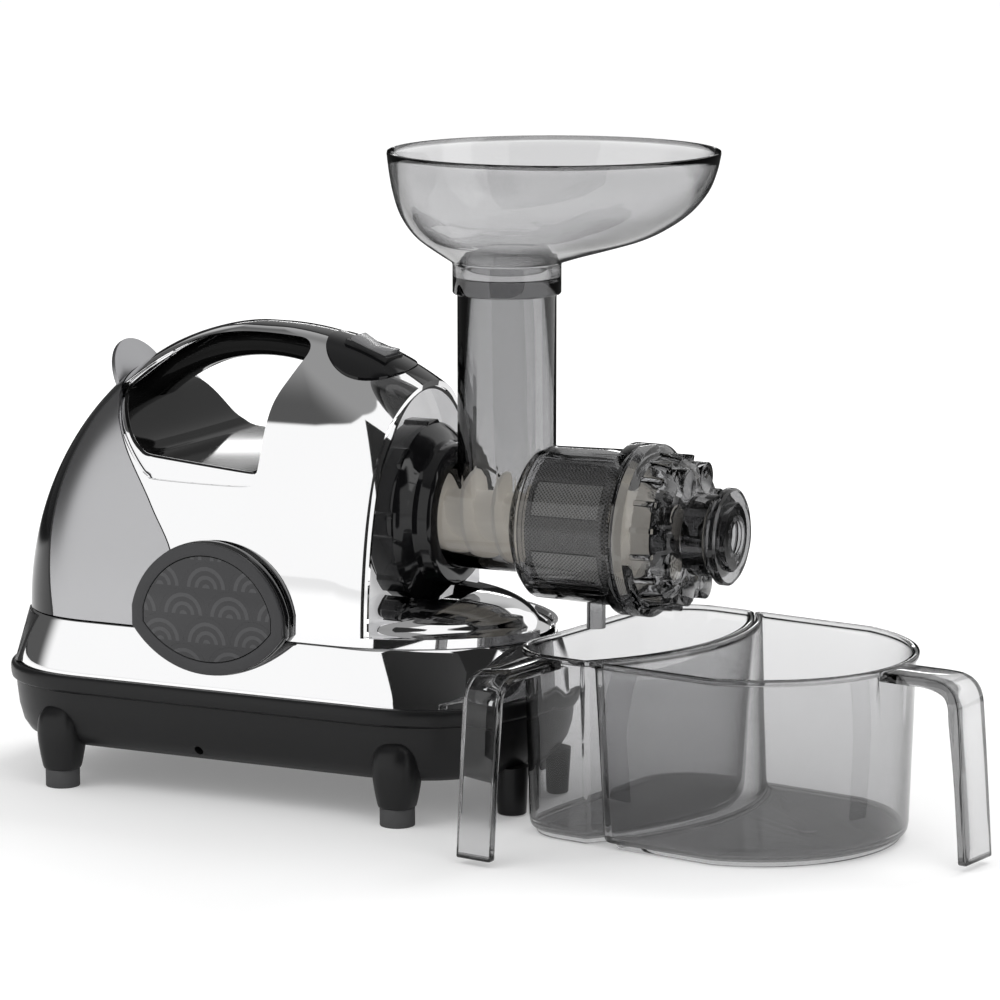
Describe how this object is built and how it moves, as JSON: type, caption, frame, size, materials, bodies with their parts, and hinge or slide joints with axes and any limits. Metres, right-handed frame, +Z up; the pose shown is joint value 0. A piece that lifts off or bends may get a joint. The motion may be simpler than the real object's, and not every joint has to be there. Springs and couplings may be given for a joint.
{
  "type": "horizontal cold press juicer",
  "caption": "Horizontal slow juicer with domed chromed housing, carrying handle, clear feed hopper and pressing drum, and two nesting catch containers.",
  "frame": {"origin": "centre of the set's outline on the worktop, under the juicer with its containers in place", "axes": "+X along the pressing drum from the motor housing to the pulp outlet, +Y towards the side away from the juice container's handle, +Z up"},
  "size_m": [0.5406, 0.215, 0.335],
  "materials": {
    "chrome_shell": "mirror bright",
    "satin_steel": "satin",
    "black_gloss": "gloss",
    "black_satin": "satin",
    "badge_gray": "satin",
    "rubber": "matt",
    "smoke_clear": "clear, smoke tinted",
    "mesh_steel": "fine mesh",
    "plated_steel": "plated",
    "auger_resin": "satin",
    "gear_resin": "moulded",
    "cast_alloy": "die cast",
    "core_steel": "laminated",
    "winding": "enamelled wire",
    "bush": "sintered",
    "board": "board with parts"
  },
  "bodies": {
    "base": {"base_tray": "black_satin", "foot_pads": "rubber", "foot_screws": "plated_steel", "skirt": "chrome_shell", "rear_guard": "black_satin", "housing_left": "chrome_shell", "housing_right": "chrome_shell", "spine_strip": "black_gloss", "handle_grip": "black_satin", "hand_well": "black_satin", "front_cowl": "chrome_shell", "bulkhead": "black_satin", "badge_frames": "badge_gray", "badge_plates": "badge_gray", "switch_bezel": "black_gloss", "switch_body": "black_satin", "motor_can": "plated_steel", "stator_core": "core_steel", "stator_windings": "winding", "motor_brackets": "cast_alloy", "motor_bearings": "plated_steel", "gearbox_housing": "cast_alloy", "gearbox_cover": "cast_alloy", "gearbox_bushes": "bush", "gearbox_screws": "plated_steel", "drum_seat": "black_satin", "circuit_board": "board", "run_capacitor": "cast_alloy", "cord_gland": "rubber", "tray_screws": "plated_steel", "cover_hinge": "black_satin", "hinge_pin": "plated_steel"},
    "rocker": {"power_rocker": "black_satin"},
    "rotor": {"motor_shaft": "plated_steel", "rotor_core": "core_steel", "cooling_fan": "gear_resin", "motor_pinion": "bush"},
    "idler": {"idler_gear": "gear_resin"},
    "output": {"output_gear": "gear_resin", "drive_shaft": "plated_steel"},
    "cover": {"rear_cover": "satin_steel", "cover_band": "black_gloss", "cover_tab": "satin_steel"},
    "drum": {"drum": "smoke_clear", "strainer_frame": "black_satin", "strainer_mesh": "mesh_steel", "drum_gasket": "rubber"},
    "lock": {"lock_ring": "black_gloss"},
    "auger": {"auger": "auger_resin", "auger_socket": "plated_steel", "auger_tip": "plated_steel"},
    "cap": {"end_cap": "smoke_clear"},
    "nozzle": {"pulp_nozzle": "smoke_clear"},
    "hopper": {"hopper": "smoke_clear"},
    "juice": {"juice_container": "smoke_clear"},
    "pulp": {"pulp_container": "smoke_clear"}
  },
  "joints": [
    {"name": "switch_rock", "type": "hinge", "parent": "base", "child": "rocker", "pos_m": [-0.0708, 0.0178, 0.22684], "axis": [0, 1, 0], "range_deg": [-8, 8]},
    {"name": "cover_swing", "type": "hinge", "parent": "base", "child": "cover", "pos_m": [-0.25826, 0.0218, 0.088], "axis": [0, -1, 0], "range_deg": [0, 70]},
    {"name": "motor_spin", "type": "hinge", "parent": "base", "child": "rotor", "pos_m": [-0.08225, 0.0218, 0.092], "axis": [1, 0, 0], "continuous": true},
    {"name": "idler_spin", "type": "hinge", "parent": "base", "child": "idler", "pos_m": [-0.07626, 0.03889, 0.11666], "axis": [1, 0, 0], "continuous": true},
    {"name": "output_spin", "type": "hinge", "parent": "base", "child": "output", "pos_m": [-0.06925, 0.0218, 0.1472], "axis": [1, 0, 0], "continuous": true},
    {"name": "drum_pull", "type": "slide", "parent": "base", "child": "drum", "axis": [1, 0, 0], "range_m": [0, 0.017]},
    {"name": "lock_turn", "type": "hinge", "parent": "drum", "child": "lock", "pos_m": [-0.03626, 0.0218, 0.1472], "axis": [1, 0, 0], "range_deg": [0, 45]},
    {"name": "auger_spin", "type": "hinge", "parent": "drum", "child": "auger", "pos_m": [0.00375, 0.0218, 0.1472], "axis": [1, 0, 0], "continuous": true},
    {"name": "cap_turn", "type": "hinge", "parent": "drum", "child": "cap", "pos_m": [0.08374, 0.0218, 0.1472], "axis": [1, 0, 0], "range_deg": [0, 45]},
    {"name": "nozzle_turn", "type": "hinge", "parent": "cap", "child": "nozzle", "pos_m": [0.11374, 0.0218, 0.1472], "axis": [1, 0, 0], "range_deg": [0, 90]},
    {"name": "hopper_lift", "type": "slide", "parent": "drum", "child": "hopper", "axis": [0, 0, 1], "range_m": [0, 0.08]},
    {"name": "juice_slide", "type": "slide", "parent": "base", "child": "juice", "axis": [0.9877, -0.1564, 0], "range_m": [0, 0.1]},
    {"name": "pulp_slide", "type": "slide", "parent": "juice", "child": "pulp", "axis": [0.9877, -0.1564, 0], "range_m": [0, 0.06]}
  ],
  "couplings": [
    {"joint": "idler_spin", "follows": "motor_spin", "ratio": -0.25},
    {"joint": "output_spin", "follows": "motor_spin", "ratio": 0.068182},
    {"joint": "auger_spin", "follows": "motor_spin", "ratio": 0.068182}
  ]
}
